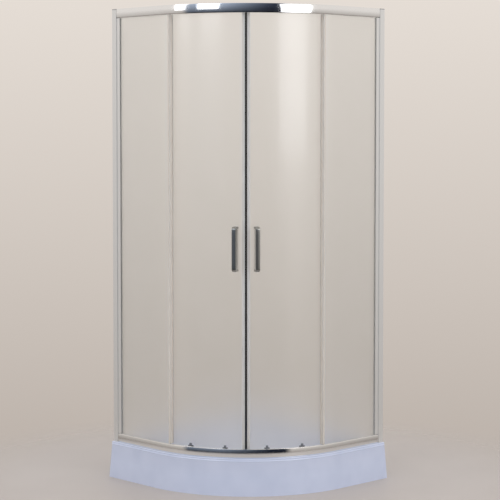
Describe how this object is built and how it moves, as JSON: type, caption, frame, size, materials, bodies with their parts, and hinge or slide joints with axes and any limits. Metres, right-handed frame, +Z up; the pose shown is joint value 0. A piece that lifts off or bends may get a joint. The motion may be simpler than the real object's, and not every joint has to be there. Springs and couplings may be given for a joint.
{
  "type": "quadrant shower enclosure",
  "caption": "Quadrant shower enclosure: curved sliding doors and fixed frosted glass sides between bright rails, on a deep acrylic tray.",
  "frame": {"origin": "on the floor, under the middle of the tray's square footprint", "axes": "+Z up; the room's corner is at -X, +Y; the left wall is the plane x = -0.445, the right wall y = +0.445; the curved front faces +X -Y"},
  "size_m": [0.89, 0.89, 2.11],
  "materials": {
    "acrylic": "gloss",
    "painted_steel": "zinc plated",
    "foot_plastic": "matte",
    "steel": "satin",
    "chrome": "mirror",
    "aluminium": "bright anodised",
    "chrome_plastic": "gloss",
    "grey_plastic": "satin",
    "wheel_plastic": "satin",
    "trap_plastic": "satin",
    "rubber": "matte",
    "clear_vinyl": "translucent",
    "magnet": "matte",
    "frosted_glass": "acid etched"
  },
  "bodies": {
    "root": {"bottom_rail": "chrome", "door_stops": "rubber", "drain_flange": "steel", "drain_gasket": "rubber", "drain_trap": "trap_plastic", "fixed_edge_seals": "clear_vinyl", "fixed_glass_gaskets": "clear_vinyl", "fixed_glass_left": "frosted_glass", "fixed_glass_right": "frosted_glass", "glazing_profile_left": "aluminium", "glazing_profile_right": "aluminium", "profile_caps": "chrome_plastic", "profile_screws": "steel", "rail_end_blocks": "grey_plastic", "rail_screws": "steel", "top_rail": "chrome", "tray": "acrylic", "tray_feet": "foot_plastic", "tray_frame": "painted_steel", "wall_profile_left": "aluminium", "wall_profile_right": "aluminium"},
    "door_right": {"door_glass_right": "frosted_glass", "magnet_strip_right": "magnet", "magnetic_seal_right": "clear_vinyl", "tail_seal_right": "clear_vinyl", "outer_handle_right": "chrome", "inner_handle_right": "chrome", "handle_bolts_right": "steel", "handle_washers_right": "clear_vinyl", "top_roller_studs_right": "steel", "roller_bushes_right": "clear_vinyl", "roller_cap_nuts_right": "chrome_plastic", "bottom_roller_housings_right": "grey_plastic", "housing_screws_right": "steel"},
    "door_left": {"door_glass_left": "frosted_glass", "magnet_strip_left": "magnet", "magnetic_seal_left": "clear_vinyl", "tail_seal_left": "clear_vinyl", "outer_handle_left": "chrome", "inner_handle_left": "chrome", "handle_bolts_left": "steel", "handle_washers_left": "clear_vinyl", "top_roller_studs_left": "steel", "roller_bushes_left": "clear_vinyl", "roller_cap_nuts_left": "chrome_plastic", "bottom_roller_housings_left": "grey_plastic", "housing_screws_left": "steel"},
    "top_wheel_lead_right": {"top_wheel_lead_right": "wheel_plastic"},
    "bottom_wheel_lead_right": {"bottom_wheel_lead_right": "wheel_plastic"},
    "release_slider_lead_right": {"release_slider_lead_right": "grey_plastic"},
    "top_wheel_tail_right": {"top_wheel_tail_right": "wheel_plastic"},
    "bottom_wheel_tail_right": {"bottom_wheel_tail_right": "wheel_plastic"},
    "release_slider_tail_right": {"release_slider_tail_right": "grey_plastic"},
    "top_wheel_lead_left": {"top_wheel_lead_left": "wheel_plastic"},
    "bottom_wheel_lead_left": {"bottom_wheel_lead_left": "wheel_plastic"},
    "release_slider_lead_left": {"release_slider_lead_left": "grey_plastic"},
    "top_wheel_tail_left": {"top_wheel_tail_left": "wheel_plastic"},
    "bottom_wheel_tail_left": {"bottom_wheel_tail_left": "wheel_plastic"},
    "release_slider_tail_left": {"release_slider_tail_left": "grey_plastic"},
    "drain_cover": {"drain_cover": "chrome"}
  },
  "joints": [
    {"name": "door_right_slide", "type": "hinge", "parent": "root", "child": "door_right", "pos_m": [-0.17739, 0.15093, 2.07], "axis": [0, 0, 1], "range_deg": [0, 23.86]},
    {"name": "top_spin_lead_right", "type": "hinge", "parent": "door_right", "child": "top_wheel_lead_right", "pos_m": [0.30041, -0.17048, 2.0873], "axis": [0.8192, -0.5736, 0], "continuous": true},
    {"name": "release_lead_right", "type": "slide", "parent": "door_right", "child": "release_slider_lead_right", "axis": [0, 0, 1], "range_m": [0, 0.006], "stiffness_N_per_m": 400, "springref_m": -0.004},
    {"name": "bottom_spin_lead_right", "type": "hinge", "parent": "release_slider_lead_right", "child": "bottom_wheel_lead_right", "pos_m": [0.30041, -0.17048, 0.1723], "axis": [0.8192, -0.5736, 0], "continuous": true},
    {"name": "top_spin_tail_right", "type": "hinge", "parent": "door_right", "child": "top_wheel_tail_right", "pos_m": [0.37216, -0.02434, 2.0873], "axis": [0.9548, -0.2974, 0], "continuous": true},
    {"name": "release_tail_right", "type": "slide", "parent": "door_right", "child": "release_slider_tail_right", "axis": [0, 0, 1], "range_m": [0, 0.006], "stiffness_N_per_m": 400, "springref_m": -0.004},
    {"name": "bottom_spin_tail_right", "type": "hinge", "parent": "release_slider_tail_right", "child": "bottom_wheel_tail_right", "pos_m": [0.37216, -0.02434, 0.1723], "axis": [0.9548, -0.2974, 0], "continuous": true},
    {"name": "door_left_slide", "type": "hinge", "parent": "root", "child": "door_left", "pos_m": [-0.15093, 0.17739, 2.07], "axis": [0, 0, -1], "range_deg": [0, 23.86]},
    {"name": "top_spin_lead_left", "type": "hinge", "parent": "door_left", "child": "top_wheel_lead_left", "pos_m": [0.17048, -0.30041, 2.0873], "axis": [0.5736, -0.8192, 0], "continuous": true},
    {"name": "release_lead_left", "type": "slide", "parent": "door_left", "child": "release_slider_lead_left", "axis": [0, 0, 1], "range_m": [0, 0.006], "stiffness_N_per_m": 400, "springref_m": -0.004},
    {"name": "bottom_spin_lead_left", "type": "hinge", "parent": "release_slider_lead_left", "child": "bottom_wheel_lead_left", "pos_m": [0.17048, -0.30041, 0.1723], "axis": [0.5736, -0.8192, 0], "continuous": true},
    {"name": "top_spin_tail_left", "type": "hinge", "parent": "door_left", "child": "top_wheel_tail_left", "pos_m": [0.02434, -0.37216, 2.0873], "axis": [0.2974, -0.9548, 0], "continuous": true},
    {"name": "release_tail_left", "type": "slide", "parent": "door_left", "child": "release_slider_tail_left", "axis": [0, 0, 1], "range_m": [0, 0.006], "stiffness_N_per_m": 400, "springref_m": -0.004},
    {"name": "bottom_spin_tail_left", "type": "hinge", "parent": "release_slider_tail_left", "child": "bottom_wheel_tail_left", "pos_m": [0.02434, -0.37216, 0.1723], "axis": [0.2974, -0.9548, 0], "continuous": true},
    {"name": "drain_cover_lift", "type": "slide", "parent": "root", "child": "drain_cover", "axis": [0, 0, 1], "range_m": [0, 0.04]}
  ],
  "couplings": [
    {"joint": "top_spin_lead_right", "follows": "door_right_slide", "ratio": -52.35},
    {"joint": "bottom_spin_lead_right", "follows": "door_right_slide", "ratio": -57.585},
    {"joint": "top_spin_tail_right", "follows": "door_right_slide", "ratio": -52.439},
    {"joint": "bottom_spin_tail_right", "follows": "door_right_slide", "ratio": -57.683},
    {"joint": "top_spin_lead_left", "follows": "door_left_slide", "ratio": 52.35},
    {"joint": "bottom_spin_lead_left", "follows": "door_left_slide", "ratio": 57.585},
    {"joint": "top_spin_tail_left", "follows": "door_left_slide", "ratio": 52.439},
    {"joint": "bottom_spin_tail_left", "follows": "door_left_slide", "ratio": 57.683}
  ]
}
